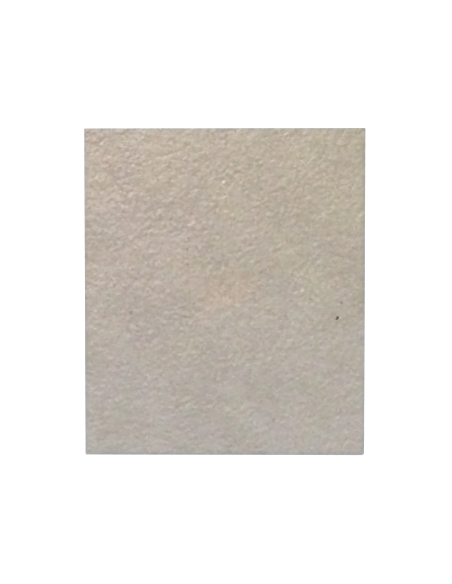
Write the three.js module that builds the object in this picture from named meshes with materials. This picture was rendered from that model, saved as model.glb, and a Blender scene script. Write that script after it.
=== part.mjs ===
// A mica sheet: one thin rectangular plate of pressed mica, cut straight on its four sides.
// The upper face is covered in shallow lumps and dimples. The underside was pressed against a
// smoother plate, so it is flat with shallow pits in it, and the sheet lies on the flats.
// Millimetres, +Z up. The origin is the middle of the underside, X runs across the sheet and
// Y along it, from its near end to its far end, and the upper face is the one that is seen.
import * as THREE from "three";

// Driving dimensions
const WIDTH = 120;
const LENGTH = 140;
const THICKNESS = 0.5; // from the bed to the top of the highest lumps
const LUMP_HEIGHT = 0.16; // from the deepest dimple to the highest lump of the upper face
const PIT_DEPTH = 0.08; // of the deepest pits in the underside
const RIM = 1.2; // width of the margin that the shears pressed down on each side
const RIM_DROP = 0.05; // how far the upper face slopes down across that margin
const CORNER_RADIUS = 0.3;
const WORN_CORNER_RADIUS = RIM; // of the near right corner

// Relief: layers of smooth noise, each with lumps about one pitch apart
const LUMP_LAYERS = [
  { pitch: 9, share: 0.35, turn: 0.35, seed: 11 },
  { pitch: 4.6, share: 0.65, turn: 1.15, seed: 23 },
];
const PIT_LAYERS = [
  { pitch: 16, share: 0.45, turn: 0.8, seed: 37 },
  { pitch: 9, share: 0.55, turn: 0.2, seed: 41 },
];
const NOISE_PEAK = 0.5; // the height that one layer of this noise seldom passes
const PIT_START = 0.25; // the underside is flat where its noise, from -1 to 1, is under this

// Facets
const FACET = 2.2; // spacing of the upper face's points; the underside's are twice as far apart
const POINT_SHIFT = 0.45; // the most that an inner point is off its grid place, either way
const SHIFT_SEEDS = { x: 5, y: 6 };

const MICA_COLOUR = new THREE.Color().setRGB(0.72, 0.683, 0.635, THREE.SRGBColorSpace);
const MICA_ROUGHNESS = 0.45;

// Places of the grid's lines along one side: the two rims, and even steps between them. The
// number of steps is even, so that every second line can carry the underside.
function gridLines(size) {
  const inner = size - 2 * RIM;
  const steps = 2 * Math.round(inner / (2 * FACET));
  const between = Array.from({ length: steps + 1 }, (_, i) => inner * (i / steps - 0.5));
  return [-size / 2, ...between, size / 2];
}

const ACROSS = gridLines(WIDTH);
const ALONG = gridLines(LENGTH);
const LAST_COLUMN = ACROSS.length - 1;
const LAST_ROW = ALONG.length - 1;

// A repeatable random number from 0 to 1 for each point of a lattice.
function latticeRandom(column, row, seed) {
  const wave = Math.sin(column * 127.1 + row * 311.7 + seed * 74.7) * 43758.5453;
  return wave - Math.floor(wave);
}

// Smooth noise around 0: each lattice point slopes its own way, and the slopes are blended.
function smoothNoise(x, y, seed) {
  const column = Math.floor(x);
  const row = Math.floor(y);
  const slopeAt = (i, j) => {
    const way = 2 * Math.PI * latticeRandom(column + i, row + j, seed);
    return Math.cos(way) * (x - column - i) + Math.sin(way) * (y - row - j);
  };
  const across = THREE.MathUtils.smootherstep(x - column, 0, 1);
  const along = THREE.MathUtils.smootherstep(y - row, 0, 1);
  const near = THREE.MathUtils.lerp(slopeAt(0, 0), slopeAt(1, 0), across);
  const far = THREE.MathUtils.lerp(slopeAt(0, 1), slopeAt(1, 1), across);
  return THREE.MathUtils.lerp(near, far, along);
}

// The layers' sum at a place on the sheet, scaled and cut off to stay from -1 to 1.
function relief(x, y, layers) {
  let sum = 0;
  for (const { pitch, share, turn, seed } of layers) {
    const u = (x * Math.cos(turn) + y * Math.sin(turn)) / pitch;
    const v = (y * Math.cos(turn) - x * Math.sin(turn)) / pitch;
    sum += (share * smoothNoise(u, v, seed)) / NOISE_PEAK;
  }
  return THREE.MathUtils.clamp(sum, -1, 1);
}

function upperZ({ x, y, onEdge }) {
  const lumps = (LUMP_HEIGHT * (1 - relief(x, y, LUMP_LAYERS))) / 2;
  return THICKNESS - lumps - (onEdge ? RIM_DROP : 0);
}

function lowerZ({ x, y }) {
  const pit = (relief(x, y, PIT_LAYERS) - PIT_START) / (1 - PIT_START);
  return PIT_DEPTH * Math.max(pit, 0);
}

// Where a grid point lies in plan. Inner points are shifted a little, so that the facets are
// uneven. Those on the outline follow the straight cuts, and a corner lies on its rounding.
function planPoint(column, row) {
  const onSide = column === 0 || column === LAST_COLUMN;
  const onEnd = row === 0 || row === LAST_ROW;
  const nearRight = column === LAST_COLUMN && row === 0;
  const radius = nearRight ? WORN_CORNER_RADIUS : CORNER_RADIUS;
  const rounding = onSide && onEnd ? radius * (1 - Math.SQRT1_2) : 0;
  const isInner = (line, last) => line > 1 && line < last - 1;
  const shift = (seed) => POINT_SHIFT * (2 * latticeRandom(column, row, seed) - 1);

  let x = ACROSS[column];
  let y = ALONG[row];
  if (isInner(column, LAST_COLUMN)) x += shift(SHIFT_SEEDS.x);
  if (isInner(row, LAST_ROW)) y += shift(SHIFT_SEEDS.y);
  x -= Math.sign(x) * rounding;
  y -= Math.sign(y) * rounding;
  return { x, y, onEdge: onSide || onEnd };
}

// Two triangles over each cell of a grid of point numbers. The cells' diagonals alternate, so
// that no direction stands out.
function coverGrid(points, facesUp) {
  const triangles = [];
  for (let row = 0; row + 1 < points.length; row++) {
    for (let column = 0; column + 1 < points[row].length; column++) {
      const [a, b] = [points[row][column], points[row][column + 1]];
      const [d, c] = [points[row + 1][column], points[row + 1][column + 1]];
      const leansRight = (row + column) % 2 === 0;
      const pair = leansRight ? [[a, b, c], [a, c, d]] : [[a, b, d], [b, c, d]];
      for (const [p, q, r] of pair) {
        triangles.push(...(facesUp ? [p, q, r] : [p, r, q]));
      }
    }
  }
  return triangles;
}

// The grid places on the outline, anticlockwise from the near left corner.
function outlinePlaces() {
  const places = [];
  for (let column = 0; column < LAST_COLUMN; column++) places.push([column, 0]);
  for (let row = 0; row < LAST_ROW; row++) places.push([LAST_COLUMN, row]);
  for (let column = LAST_COLUMN; column > 0; column--) places.push([column, LAST_ROW]);
  for (let row = LAST_ROW; row > 0; row--) places.push([0, row]);
  return places;
}

function sheetGeometry() {
  const positions = [];
  const addPoint = ({ x, y }, z) => positions.push(x, y, z) / 3 - 1;

  // The underside takes the outline and every second line between the rims
  const isCarried = (line, last) => line % 2 === 1 || line === 0 || line === last;
  const upper = [];
  const lower = [];
  for (let row = 0; row <= LAST_ROW; row++) {
    upper[row] = [];
    lower[row] = [];
    for (let column = 0; column <= LAST_COLUMN; column++) {
      const place = planPoint(column, row);
      upper[row][column] = addPoint(place, upperZ(place));
      if (isCarried(column, LAST_COLUMN) && isCarried(row, LAST_ROW)) {
        lower[row][column] = addPoint(place, lowerZ(place));
      }
    }
  }
  const lowerGrid = lower
    .map((points) => points.filter((point) => point !== undefined))
    .filter((points) => points.length > 0);
  const triangles = [...coverGrid(upper, true), ...coverGrid(lowerGrid, false)];

  // The cut sides: each step of the upper outline stands on the lower point last passed
  const places = outlinePlaces();
  let foot = lower[0][0];
  places.forEach(([column, row], step) => {
    const [nextColumn, nextRow] = places[(step + 1) % places.length];
    const top = upper[row][column];
    const nextTop = upper[nextRow][nextColumn];
    const nextFoot = lower[nextRow][nextColumn];
    triangles.push(foot, nextTop, top);
    if (nextFoot !== undefined) {
      triangles.push(foot, nextFoot, nextTop);
      foot = nextFoot;
    }
  });

  const geometry = new THREE.BufferGeometry();
  geometry.setAttribute("position", new THREE.Float32BufferAttribute(positions, 3));
  geometry.setIndex(triangles);
  geometry.computeVertexNormals();
  return geometry;
}

const mica = new THREE.MeshStandardMaterial({
  color: MICA_COLOUR,
  roughness: MICA_ROUGHNESS,
  metalness: 0,
});

const sheet = new THREE.Mesh(sheetGeometry(), mica);
sheet.name = "mica_sheet";

const part = new THREE.Group();
part.add(sheet);

export default part;
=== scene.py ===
"""A sheet of pressed mica lying on a pale floor, seen from almost straight above.

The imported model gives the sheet's size and place. This script makes its fine surface: the
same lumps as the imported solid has, a finer crumple of flakes on top of them, the cut sides,
and the mica's colours and sheen. Lengths are in millimetres, and are turned into Blender's
metres where they leave the script's own functions.
"""
import math

import bpy
import numpy as np
from mathutils import Matrix, Vector


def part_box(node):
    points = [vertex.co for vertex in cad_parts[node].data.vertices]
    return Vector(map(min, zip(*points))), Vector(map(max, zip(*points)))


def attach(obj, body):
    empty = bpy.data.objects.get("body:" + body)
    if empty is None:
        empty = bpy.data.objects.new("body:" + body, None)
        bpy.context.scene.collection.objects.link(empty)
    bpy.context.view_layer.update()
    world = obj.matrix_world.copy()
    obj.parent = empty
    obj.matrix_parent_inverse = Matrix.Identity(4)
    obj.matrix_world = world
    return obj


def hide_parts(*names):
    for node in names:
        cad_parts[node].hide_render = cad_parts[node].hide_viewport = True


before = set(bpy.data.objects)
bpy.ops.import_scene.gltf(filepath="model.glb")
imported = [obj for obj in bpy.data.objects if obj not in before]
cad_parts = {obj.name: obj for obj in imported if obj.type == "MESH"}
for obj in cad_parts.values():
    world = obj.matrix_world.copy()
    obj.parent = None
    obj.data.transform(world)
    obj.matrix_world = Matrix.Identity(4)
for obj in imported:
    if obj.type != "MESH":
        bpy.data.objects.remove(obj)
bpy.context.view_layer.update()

MM = 0.001

# The sheet's size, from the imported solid
NODE = "mica_sheet"
PIECE = "mica_sheet_surface"
LOW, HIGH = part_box(NODE)
WIDTH = (HIGH.x - LOW.x) / MM
LENGTH = (HIGH.y - LOW.y) / MM
HIGHEST = HIGH.z / MM

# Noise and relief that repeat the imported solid's
HASH_WAVES = (127.1, 311.7, 74.7)  # radians of a sine wave for each column, row and seed
HASH_STRETCH = 43758.5453  # of that wave, whose fraction is then the random number
NOISE_PEAK = 0.5  # the height that one layer of noise seldom passes
THICKNESS = 0.5  # from the bed to the top of the highest lumps
LUMP_HEIGHT = 0.16
LUMP_LAYERS = [
    {"pitch": 9, "share": 0.35, "turn": 0.35, "seed": 11},
    {"pitch": 4.6, "share": 0.65, "turn": 1.15, "seed": 23},
]
PIT_DEPTH = 0.08
PIT_LAYERS = [
    {"pitch": 16, "share": 0.45, "turn": 0.8, "seed": 37},
    {"pitch": 9, "share": 0.55, "turn": 0.2, "seed": 41},
]
PIT_START = 0.25  # the underside is flat where its noise, from -1 to 1, is under this
RIM = 1.2  # width of the margin that the shears pressed down on each side
RIM_DROP = 0.02  # a little less than the solid's
CORNER_RADIUS = 0.3
WORN_CORNER_RADIUS = RIM  # of the near right corner

# The finer crumple, which only this mesh has. It is stronger in some patches than in others,
# and dents the lumps more than it raises them, since the press flattened what stood highest.
CRUMPLE_HEIGHT = 0.12
CRUMPLE_LAYERS = [
    {"pitch": 2.0, "share": 0.55, "turn": 0.6, "seed": 53},
    {"pitch": 1.1, "share": 0.45, "turn": 1.9, "seed": 67},
]
PATCH_LAYERS = [{"pitch": 9, "share": 1, "turn": 1.4, "seed": 97}]
PATCHINESS = 0.5
CRUMPLE_LIMIT = 0.15  # the most that the crumple raises or dents any place
EDGE_CRUMPLE = 0.5  # the share of it that is left at the edges
DENT = 0.05  # how far the face is lowered under the crumple
PRESS_SOFTNESS = 0.02  # how gently the heights level off under the highest that is allowed
FLAKE_PITCH = 2.6  # from one flake of the upper face to the next
FLAKE_SLOPE = 0.05  # the steepest that a flake leans
FLAKE_CRISPNESS = 2  # how abruptly one flake gives way to the next
FLAKE_SEEDS = {"x": 71, "y": 73, "way": 79, "lean": 83}
PIMPLE_PITCH = 1.8  # from one pimple or dimple of the upper face to the next
PIMPLE_RADIUS = 0.5
PIMPLE_HEIGHT = 0.15  # of the highest, or the depth of the deepest
PIMPLE_SEEDS = {"x": 89, "y": 101, "height": 103}

# The cut sides
CUT_RINGS = [0.82, 0.5, 0.18]  # heights of the rings of points, as shares of the thickness
CUT_PITCH = 1.3
CUT_ROUGHNESS = 0.05  # how far the torn layers draw back from the cut
CUT_NORMALS = (0.75, 0.45)  # the normal's upward part where the cut's colour begins and is whole
CUT_STREAKS = (0.5, 0.5, 14)  # streaks on the cut sides for each millimetre, each way
EDGE_INSET = 0.05  # of the worn arris along each edge

# The mesh
UPPER_STEP = 0.44
UNDERSIDE_SKIP = 4  # the underside takes every fourth line of the upper face's grid
SHARP_ANGLE = math.radians(40)  # between faces whose shared edge isn't shaded smooth

# Dark flecks pressed into the sheet, and painted glints: place, diameter and how much of their
# own colour they show
DARK_FLECKS = [
    {"x": 48.2, "y": -11.0, "size": 1.4, "share": 0.95},
    {"x": 36.9, "y": -2.8, "size": 1.6, "share": 0.4},
    {"x": 50.0, "y": -4.5, "size": 1.5, "share": 0.38},
    {"x": 25.6, "y": -9.9, "size": 1.6, "share": 0.32},
    {"x": 21.3, "y": -55.1, "size": 1.5, "share": 0.25},
    {"x": -16.0, "y": 18.2, "size": 1.5, "share": 0.28},
    {"x": -16.0, "y": 12.2, "size": 1.5, "share": 0.3},
    {"x": -22.9, "y": 31.1, "size": 1.4, "share": 0.3},
    {"x": -40.3, "y": -8.8, "size": 1.5, "share": 0.38},
]
# Pale spots painted on as glints, the first beside the darkest fleck
PAINTED_GLINTS = [
    {"x": 49.7, "y": -10.9, "size": 1.3, "share": 0.9},
    {"x": 3.7, "y": -36.3, "size": 1.3, "share": 0.8},
    {"x": -55.4, "y": -8.2, "size": 1.3, "share": 0.8},
]
FLECK_AND_GLINT_SOFTNESS = 0.25  # how far a dark fleck or painted glint fades on either side of its outline
FLECK_AND_GLINT_RAG = 0.25  # how far the outline strays
FLECK_AND_GLINT_RAG_PITCH = 1.1

# Colours, as linear light
WHITE = (1, 1, 1, 1)
WARM_BEIGE = (0.424, 0.353, 0.290, 1)
OLIVE_BEIGE = (0.415, 0.363, 0.279, 1)
COOL_GREY = (0.435, 0.402, 0.367, 1)
DARK_FLECK = (0.05, 0.042, 0.036, 1)
# A painted highlight, for the pale spots that stand for glints
PAINTED_GLINT_COLOUR = (0.56, 0.51, 0.45, 1)
CUT_DARK = (0.24, 0.205, 0.165, 1)
CUT_PALE = (0.48, 0.44, 0.38, 1)

# Tints, which the colours are multiplied by
NO_TINT = WHITE
# Painted shade along the edges, darker and bluer
MARGIN_SHADE_TINT = (0.85, 0.925, 1.035, 1)
WARM_TINT = (1.08, 1.01, 0.965, 1)
PINK_TINT = (1.015, 0.985, 1.0, 1)
GREEN_TINT = (0.985, 1.01, 1.0, 1)
YELLOW_TINT = (1.0, 1.005, 0.97, 1)
LILAC_TINT = (1.0, 0.995, 1.03, 1)

# How the colours are spread
MARGIN = 2.4  # how far the painted shade of the margin, darker and greyer, reaches in from the edges
COOL_SPAN = (-95, 60)  # the places along Y where the near end's grey would be whole and is gone
WARM_PATCH = {"middle": (-1.5, 0, THICKNESS), "core": 6, "reach": 17}
CLOUD_PITCH = 24
CLOUD_TONES = (0.965, 1.035)
STRAY = 40  # how far the drift of colour strays from its even course, end to end
BLOTCH_PITCH = 9
NOISE_SPAN = (0.35, 0.65)  # between which most of the shader's noise lies
HALF = (0.5, 0.5, 0.5)  # the middle of a random colour, whose parts go from 0 to 1

# The chips of mica in the surface, finer than the mesh shows
CHIP_PITCH = 1.2
CHIP_RAG = 1.2  # how far the chips' outlines stray, end to end
CHIP_RAG_PITCH = 1.0
CHIP_TONES = (0.98, 1.02)
CHIP_ROUGHNESS = (0.3, 0.48)
CHIP_LEANS = (0.05, 0.28)  # how far off level chips face: most of them, and the few that glint
GLINTING = (0.55, 1)  # the random numbers, from 0 to 1, over which chips go from one to the other
GRAIN_PITCH = 0.7
GRAIN_HEIGHT = 0.05
MICA_IOR = 1.58

# The camera, which leans a little from straight above its aim
LENS = 71.9
SENSOR = 36
CAMERA_DISTANCE = 499.4
CAMERA_LEAN_FAR = math.radians(2.0)
CAMERA_LEAN_RIGHT = math.radians(0.78)
CAMERA_AIM = Vector((0.6, 0.1, 0))

# The studio. Its sky is pale up to one elevation and dim from another, both in degrees.
FLOOR = {"size": 6000, "gap": 0.02, "colour": (0.3, 0.3, 0.3, 1), "roughness": 0.9, "glow": 0.95}
SKY = {"pale": 1.0, "pale_up_to": 15, "dim": 0.06, "dim_from": 35}

# A mix node's colour sockets, which come after those for numbers and vectors
MIX_FIRST, MIX_SECOND, MIX_RESULT = 6, 7, 2


def lattice_random(column, row, seed):
    """A repeatable random number from 0 to 1 for each point of a lattice."""
    per_column, per_row, per_seed = HASH_WAVES
    wave = np.sin(column * per_column + row * per_row + seed * per_seed) * HASH_STRETCH
    return wave - np.floor(wave)


def smooth_noise(x, y, seed):
    """Noise around 0: each lattice point slopes its own way, and the slopes are blended."""
    column = np.floor(x)
    row = np.floor(y)

    def slope_at(i, j):
        way = 2 * np.pi * lattice_random(column + i, row + j, seed)
        return np.cos(way) * (x - column - i) + np.sin(way) * (y - row - j)

    def blend(a, b, t):
        """From a to b along the smootherstep curve."""
        return a + (b - a) * t ** 3 * (t * (6 * t - 15) + 10)

    near = blend(slope_at(0, 0), slope_at(1, 0), x - column)
    far = blend(slope_at(0, 1), slope_at(1, 1), x - column)
    return blend(near, far, y - row)


def relief(x, y, layers):
    """The layers' sum at places on the sheet, scaled and cut off to stay from -1 to 1."""
    total = np.zeros_like(x)
    for layer in layers:
        turn, pitch = layer["turn"], layer["pitch"]
        u = (x * np.cos(turn) + y * np.sin(turn)) / pitch
        v = (y * np.cos(turn) - x * np.sin(turn)) / pitch
        total += layer["share"] * smooth_noise(u, v, layer["seed"]) / NOISE_PEAK
    return np.clip(total, -1, 1)


def nearby_spots(x, y, pitch, seeds):
    """The random spots of the nine lattice cells around each place: how far it is from each
    spot across and along, and the cell's column and row."""
    for i in (-1, 0, 1):
        for j in (-1, 0, 1):
            column, row = np.floor(x / pitch) + i, np.floor(y / pitch) + j
            across = x - pitch * (column + lattice_random(column, row, seeds["x"]))
            along = y - pitch * (row + lattice_random(column, row, seeds["y"]))
            yield across, along, column, row


def flake_height(x, y):
    """Flakes that each lean their own way. The one whose middle is nearest counts the most."""
    height = np.zeros_like(x)
    weights = np.zeros_like(x)
    for across, along, column, row in nearby_spots(x, y, FLAKE_PITCH, FLAKE_SEEDS):
        way = 2 * np.pi * lattice_random(column, row, FLAKE_SEEDS["way"])
        lean = FLAKE_SLOPE * lattice_random(column, row, FLAKE_SEEDS["lean"])
        weight = np.exp(-FLAKE_CRISPNESS * (across ** 2 + along ** 2))
        height += weight * lean * (np.cos(way) * across + np.sin(way) * along)
        weights += weight
    return height / weights


def pimple_height(x, y):
    """Small round pimples and dimples, most of them faint and a few of them strong."""
    height = np.zeros_like(x)
    for across, along, column, row in nearby_spots(x, y, PIMPLE_PITCH, PIMPLE_SEEDS):
        strength = (2 * lattice_random(column, row, PIMPLE_SEEDS["height"]) - 1) ** 3
        height += strength * np.exp(-(across ** 2 + along ** 2) / (2 * PIMPLE_RADIUS ** 2))
    return PIMPLE_HEIGHT * height


def upper_z(x, y):
    """Heights of the upper face: the lumps, the crumple on them and the pressed margin."""
    lumps = LUMP_HEIGHT * (1 - relief(x, y, LUMP_LAYERS)) / 2
    crumple = CRUMPLE_HEIGHT * relief(x, y, CRUMPLE_LAYERS) / 2
    crumple += flake_height(x, y) + pimple_height(x, y)
    crumple *= 1 + PATCHINESS * relief(x, y, PATCH_LAYERS)
    crumple = CRUMPLE_LIMIT * np.tanh(crumple / CRUMPLE_LIMIT)
    inwards = np.minimum(WIDTH / 2 - np.abs(x), LENGTH / 2 - np.abs(y))
    rim = np.clip(1 - inwards / RIM, 0, 1)
    crumple *= 1 - (1 - EDGE_CRUMPLE) * rim
    height = THICKNESS - lumps - DENT + crumple - RIM_DROP * rim

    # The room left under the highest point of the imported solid, always kept above 0
    half_room = (HIGHEST - height) / 2
    return HIGHEST - half_room - np.hypot(half_room, PRESS_SOFTNESS)


def lower_z(x, y):
    """Heights of the underside, which is flat between its pits."""
    pit = (relief(x, y, PIT_LAYERS) - PIT_START) / (1 - PIT_START)
    return PIT_DEPTH * np.maximum(pit, 0)


def round_corners(x, y):
    """Moves the places in each corner's square onto a quarter disc of the corner's radius."""
    for side in (-1, 1):
        for end in (-1, 1):
            radius = WORN_CORNER_RADIUS if (side, end) == (1, -1) else CORNER_RADIUS
            u = np.maximum((side * x - WIDTH / 2) / radius + 1, 0)
            v = np.maximum((end * y - LENGTH / 2) / radius + 1, 0)
            x = x - side * radius * u * (1 - np.sqrt(1 - v ** 2 / 2))
            y = y - end * radius * v * (1 - np.sqrt(1 - u ** 2 / 2))
    return x, y


def plan_places():
    """The grid of places at which the upper face has its points, as their X and their Y."""
    columns = UNDERSIDE_SKIP * round(WIDTH / UPPER_STEP / UNDERSIDE_SKIP)
    rows = UNDERSIDE_SKIP * round(LENGTH / UPPER_STEP / UNDERSIDE_SKIP)
    x, y = np.meshgrid(
        np.linspace(-WIDTH / 2, WIDTH / 2, columns + 1),
        np.linspace(-LENGTH / 2, LENGTH / 2, rows + 1),
    )
    return round_corners(x, y)


def drawn_in(x, y, distance):
    """The places moved towards the middle. Those on the four cuts come in by the distance."""
    return x * (1 - 2 * distance / WIDTH), y * (1 - 2 * distance / LENGTH)


def thinned(grid):
    """The values on the lines that the underside takes."""
    return grid[::UNDERSIDE_SKIP, ::UNDERSIDE_SKIP]


def outline(grid):
    """The values on a grid's outline, anticlockwise from the near left corner."""
    return np.concatenate([grid[0, :-1], grid[:-1, -1], grid[-1, :0:-1], grid[:0:-1, 0]])


def cut_rings(x, y, top, bed):
    """The rings of points on the cut sides, from the top down. Each layer is torn unevenly."""
    x, y, top, bed = (outline(grid) for grid in (x, y, top, bed))
    for number, share in enumerate(CUT_RINGS):
        tear = relief(x, y, [{"pitch": CUT_PITCH, "share": 1, "turn": 0, "seed": number}])
        ring_x, ring_y = drawn_in(x, y, CUT_ROUGHNESS * (1 - tear) / 2)
        yield ring_x, ring_y, bed + share * (top - bed)


def grid_faces(numbers, faces_up):
    """One square face over each cell of a grid of point numbers."""
    a, b = numbers[:-1, :-1], numbers[:-1, 1:]
    d, c = numbers[1:, :-1], numbers[1:, 1:]
    order = (a, b, c, d) if faces_up else (a, d, c, b)
    return np.stack([corner.ravel() for corner in order], axis=1).tolist()


def side_faces(lower, upper):
    """Faces between two rings of point numbers. The upper ring may have more points."""
    skip = len(upper) // len(lower)
    faces = []
    for i in range(len(lower)):
        j = (i + 1) % len(lower)
        above = [int(upper[(skip * i + step) % len(upper)]) for step in range(skip, -1, -1)]
        faces.append([int(lower[i]), int(lower[j])] + above)
    return faces


def sheet_mesh():
    """The whole sheet as one closed mesh."""
    x, y = plan_places()
    top, bed = upper_z(x, y), lower_z(x, y)
    points = []

    def add_points(px, py, pz):
        """Adds the points, and gives back their numbers in the same order."""
        first = sum(len(group) for group in points)
        points.append(np.stack([px.ravel(), py.ravel(), pz.ravel()], axis=1))
        return first + np.arange(px.size).reshape(px.shape)

    # The two faces, drawn in a little along their edges for the worn arrises
    inset_x, inset_y = drawn_in(x, y, EDGE_INSET)
    upper = add_points(inset_x, inset_y, top)
    lower = add_points(thinned(inset_x), thinned(inset_y), thinned(bed))
    faces = grid_faces(upper, True) + grid_faces(lower, False)

    # The cut sides, from the upper face down to the underside
    above = outline(upper)
    for ring_places in cut_rings(x, y, top, bed):
        ring = add_points(*ring_places)
        faces += side_faces(ring, above)
        above = ring
    faces += side_faces(outline(lower), above)

    mesh = bpy.data.meshes.new(PIECE)
    mesh.from_pydata((np.concatenate(points) * MM).tolist(), [], faces)
    mesh.validate()
    mesh.shade_smooth()
    mesh.set_sharp_from_angle(angle=SHARP_ANGLE)
    return mesh


class NodeBuilder:
    """Adds nodes to the tree of a material or world, in front of the shader that it has."""

    def __init__(self, owner, shader):
        owner.use_nodes = True
        self.tree = owner.node_tree
        self.shader = self.tree.nodes[shader]

    def fill(self, node, inputs):
        """Links each input whose value is another node's output, and sets the others."""
        for key, value in inputs.items():
            if isinstance(value, bpy.types.NodeSocket):
                self.tree.links.new(value, node.inputs[key])
            else:
                node.inputs[key].default_value = value

    def add(self, kind, inputs, output=0, **settings):
        """Adds a node and gives back one of its outputs, as the methods below do too."""
        node = self.tree.nodes.new(kind)
        for name, value in settings.items():
            setattr(node, name, value)
        self.fill(node, inputs)
        return node.outputs[output]

    def math(self, operation, first, second=0.0):
        return self.add("ShaderNodeMath", {0: first, 1: second}, operation=operation)

    def vector(self, operation, first, second=(0, 0, 0), output=0):
        inputs = {0: first, 1: second}
        return self.add("ShaderNodeVectorMath", inputs, output, operation=operation)

    def scale(self, vector, factor):
        inputs = {0: vector, "Scale": factor}
        return self.add("ShaderNodeVectorMath", inputs, operation="SCALE")

    def split_vector(self, vector):
        """All three parts of a vector, by their names."""
        return self.add("ShaderNodeSeparateXYZ", {0: vector}).node.outputs

    def split_colour(self, colour):
        """All three parts of a colour, by their names."""
        return self.add("ShaderNodeSeparateColor", {0: colour}).node.outputs

    def fade(self, value, start, end, low=0.0, high=1.0):
        """From low where the value is at start to high where it is at end, with soft turns."""
        inputs = {"Value": value, "From Min": start, "From Max": end}
        inputs |= {"To Min": low, "To Max": high}
        return self.add("ShaderNodeMapRange", inputs, interpolation_type="SMOOTHSTEP")

    def mix(self, share, first, second):
        """From the first colour where the share is 0 to the second where it is 1."""
        inputs = {0: share, MIX_FIRST: first, MIX_SECOND: second}
        return self.add("ShaderNodeMix", inputs, MIX_RESULT, data_type="RGBA")

    def tint(self, colour, share, first, second):
        """The colour times a tint that goes from the first to the second."""
        return self.vector("MULTIPLY", colour, self.mix(share, first, second))

    def noise(self, place, pitch, detail=1.0, output="Fac"):
        inputs = {"Vector": place, "Scale": 1 / pitch, "Detail": detail}
        return self.add("ShaderNodeTexNoise", inputs, output)

    def stray(self, place, pitch, reach):
        """The place moved about by noise, up to half the reach each way."""
        way = self.vector("SUBTRACT", self.noise(place, pitch, output="Color"), HALF)
        return self.vector("ADD", place, self.scale(way, reach))


def drifting_colour(nodes, place):
    """Warm beige at the far left, olive at the far right and cool grey towards the near end."""
    strayed = nodes.stray(place, CLOUD_PITCH, STRAY)
    plan = nodes.split_vector(strayed)
    across = nodes.fade(plan["X"], -WIDTH / 2, WIDTH / 2)
    along = nodes.fade(plan["Y"], *COOL_SPAN)
    far_colour = nodes.mix(across, WARM_BEIGE, OLIVE_BEIGE)
    colour = nodes.mix(along, COOL_GREY, far_colour)
    from_patch = nodes.vector("DISTANCE", strayed, WARM_PATCH["middle"], "Value")
    patch = nodes.fade(from_patch, WARM_PATCH["reach"], WARM_PATCH["core"])
    return nodes.tint(colour, patch, NO_TINT, WARM_TINT)


def blotched(nodes, place, colour):
    """The colour with faint pink, green, yellow and lilac blotches, and broad pale clouds."""
    blotch = nodes.split_colour(nodes.noise(place, BLOTCH_PITCH, detail=2, output="Color"))
    pinkness = nodes.fade(blotch["Red"], *NOISE_SPAN)
    lilacness = nodes.fade(blotch["Green"], *NOISE_SPAN)
    colour = nodes.tint(colour, pinkness, GREEN_TINT, PINK_TINT)
    colour = nodes.tint(colour, lilacness, YELLOW_TINT, LILAC_TINT)
    cloud = nodes.noise(place, CLOUD_PITCH, detail=2)
    return nodes.scale(colour, nodes.fade(cloud, *NOISE_SPAN, *CLOUD_TONES))


def shaded_margin_share(nodes, place):
    """How much painted shade the margin gets: 1 on the outline in plan, and 0 from the margin's
    width inwards.
    """
    plan = nodes.split_vector(nodes.vector("ABSOLUTE", place))
    past_side = nodes.math("SUBTRACT", plan["X"], WIDTH / 2)
    past_end = nodes.math("SUBTRACT", plan["Y"], LENGTH / 2)
    return nodes.fade(nodes.math("MAXIMUM", past_side, past_end), -MARGIN, 0)


def fleck_and_glint_share(nodes, place, flecks_or_glints):
    """How much of the given dark flecks' or painted glints' own colour shows, with ragged
    outlines.
    """
    rag = nodes.fade(nodes.noise(place, FLECK_AND_GLINT_RAG_PITCH), *NOISE_SPAN, -FLECK_AND_GLINT_RAG, FLECK_AND_GLINT_RAG)
    covered = 0.0
    for fleck_or_glint in flecks_or_glints:
        middle = (fleck_or_glint["x"], fleck_or_glint["y"], THICKNESS)
        radius = fleck_or_glint["size"] / 2
        away = nodes.math("ADD", nodes.vector("DISTANCE", place, middle, "Value"), rag)
        ends = (radius + FLECK_AND_GLINT_SOFTNESS, radius - FLECK_AND_GLINT_SOFTNESS)
        covered = nodes.math("MAXIMUM", covered, nodes.fade(away, *ends, 0, fleck_or_glint["share"]))
    return covered


def face_colour(nodes, place, tone):
    """The colour of both faces. The tone is a random number for each chip."""
    colour = blotched(nodes, place, drifting_colour(nodes, place))
    colour = nodes.scale(colour, nodes.fade(tone, 0, 1, *CHIP_TONES))
    # Painted shade along the edges, darker and bluer towards the outline
    colour = nodes.tint(colour, shaded_margin_share(nodes, place), NO_TINT, MARGIN_SHADE_TINT)
    colour = nodes.mix(fleck_and_glint_share(nodes, place, DARK_FLECKS), colour, DARK_FLECK)
    # Pale spots painted on as glints
    return nodes.mix(fleck_and_glint_share(nodes, place, PAINTED_GLINTS), colour, PAINTED_GLINT_COLOUR)


def cut_colour(nodes, place):
    """The layers seen edge on: thin streaks that run along the cut."""
    streak = nodes.noise(nodes.vector("MULTIPLY", place, CUT_STREAKS), pitch=1, detail=2)
    return nodes.mix(nodes.fade(streak, *NOISE_SPAN), CUT_DARK, CUT_PALE)


def chip_colour(nodes, place):
    """A random colour for each chip of mica, whose parts set its tone, gloss and lean."""
    ragged = nodes.stray(place, CHIP_RAG_PITCH, CHIP_RAG)
    return nodes.add("ShaderNodeTexVoronoi", {"Vector": ragged, "Scale": 1 / CHIP_PITCH}, "Color")


def chip_normal(nodes, place, normal, chip):
    """Each chip faces its own way, under a fine grain."""
    steepness = nodes.fade(nodes.split_colour(chip)["Blue"], *GLINTING, *CHIP_LEANS)
    lean = nodes.scale(nodes.vector("SUBTRACT", chip, HALF), steepness)
    facing = nodes.vector("NORMALIZE", nodes.vector("ADD", normal, lean))
    grain = nodes.math("MULTIPLY", nodes.noise(place, GRAIN_PITCH, detail=2), GRAIN_HEIGHT)
    return nodes.add("ShaderNodeBump", {"Height": grain, "Distance": MM, "Normal": facing})


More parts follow.
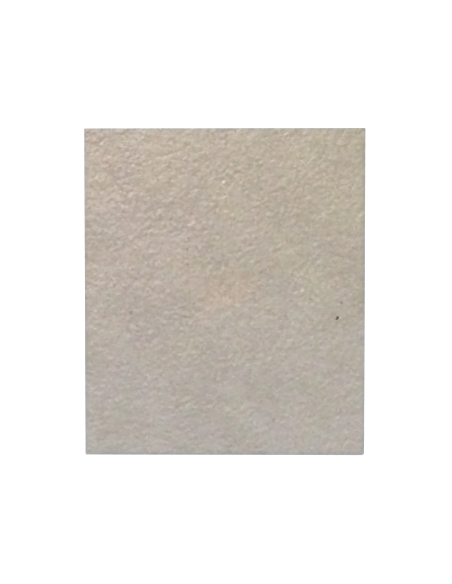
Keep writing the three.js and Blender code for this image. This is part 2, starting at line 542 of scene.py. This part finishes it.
def mica_material():
    """Pressed mica: the colours of its faces and cuts, and each chip's own gloss and lean."""
    material = bpy.data.materials.new("mica")
    nodes = NodeBuilder(material, "Principled BSDF")
    place = nodes.scale(nodes.add("ShaderNodeTexCoord", {}, "Object"), 1 / MM)
    normal = nodes.add("ShaderNodeNewGeometry", {}, "Normal")
    levelness = nodes.math("ABSOLUTE", nodes.split_vector(normal)["Z"])
    on_cut = nodes.fade(levelness, *CUT_NORMALS)
    chip = chip_colour(nodes, place)
    own = nodes.split_colour(chip)
    on_face = face_colour(nodes, place, own["Red"])
    nodes.fill(nodes.shader, {
        "Base Color": nodes.mix(on_cut, on_face, cut_colour(nodes, place)),
        "Roughness": nodes.fade(own["Green"], 0, 1, *CHIP_ROUGHNESS),
        "IOR": MICA_IOR,
        "Normal": chip_normal(nodes, place, normal, chip),
    })
    return material


def make_sheet():
    """The sheet with its fine surface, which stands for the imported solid."""
    sheet = bpy.data.objects.new(PIECE, sheet_mesh())
    bpy.context.collection.objects.link(sheet)
    sheet.data.materials.append(mica_material())
    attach(sheet, "root")
    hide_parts(NODE)


def make_floor():
    """A pale floor with a glow of its own, so that it stays white out to the horizon."""
    place = (0, 0, -FLOOR["gap"] * MM)
    bpy.ops.mesh.primitive_plane_add(size=FLOOR["size"] * MM, location=place)
    floor = bpy.context.object
    floor.name = "floor"
    material = bpy.data.materials.new("floor")
    nodes = NodeBuilder(material, "Principled BSDF")
    nodes.fill(nodes.shader, {
        "Base Color": FLOOR["colour"],
        "Roughness": FLOOR["roughness"],
        "Emission Color": WHITE,
        "Emission Strength": FLOOR["glow"],
    })
    floor.data.materials.append(material)


def make_light(name, azimuth, elevation, distance, size, watts):
    """A square softbox that faces the sheet. Azimuth 0 is towards the far end, 90 to the left."""
    data = bpy.data.lights.new(name, "AREA")
    data.size = size * MM
    data.energy = watts
    light = bpy.data.objects.new(name, data)
    a, e = math.radians(azimuth), math.radians(elevation)
    way = Vector((-math.sin(a) * math.cos(e), math.cos(a) * math.cos(e), math.sin(e)))
    light.location = way * distance * MM
    light.rotation_euler = way.to_track_quat("Z", "Y").to_euler()
    light.visible_camera = False
    bpy.context.collection.objects.link(light)


def make_world():
    """A sky that is pale at the horizon and dim overhead."""
    world = bpy.data.worlds.new("studio")
    nodes = NodeBuilder(world, "Background")
    direction = nodes.add("ShaderNodeTexCoord", {}, "Generated")
    height = nodes.split_vector(direction)["Z"]
    span = [math.sin(math.radians(SKY[limit])) for limit in ("pale_up_to", "dim_from")]
    strength = nodes.fade(height, *span, SKY["pale"], SKY["dim"])
    nodes.fill(nodes.shader, {"Color": WHITE, "Strength": strength})
    bpy.context.scene.world = world


def make_camera():
    """Looks down at its aim, from a little towards the far end and the right."""
    data = bpy.data.cameras.new("camera")
    data.sensor_width = SENSOR
    data.lens = LENS
    camera = bpy.data.objects.new("camera", data)
    right, far = math.sin(CAMERA_LEAN_RIGHT), math.sin(CAMERA_LEAN_FAR)
    way = Vector((right, far, math.sqrt(1 - right ** 2 - far ** 2)))
    across = Vector((0, 1, 0)).cross(way).normalized()
    turn = Matrix((across, way.cross(across), way)).transposed().to_4x4()
    place = (CAMERA_AIM + way * CAMERA_DISTANCE) * MM
    camera.matrix_world = Matrix.Translation(place) @ turn
    bpy.context.collection.objects.link(camera)
    bpy.context.scene.camera = camera


make_camera()
make_world()
make_light("key", azimuth=2, elevation=38, distance=2600, size=800, watts=66)
make_light("sheen", azimuth=32, elevation=66, distance=2200, size=450, watts=15.4)
make_floor()
make_sheet()
bpy.context.scene.view_settings.view_transform = "Standard"
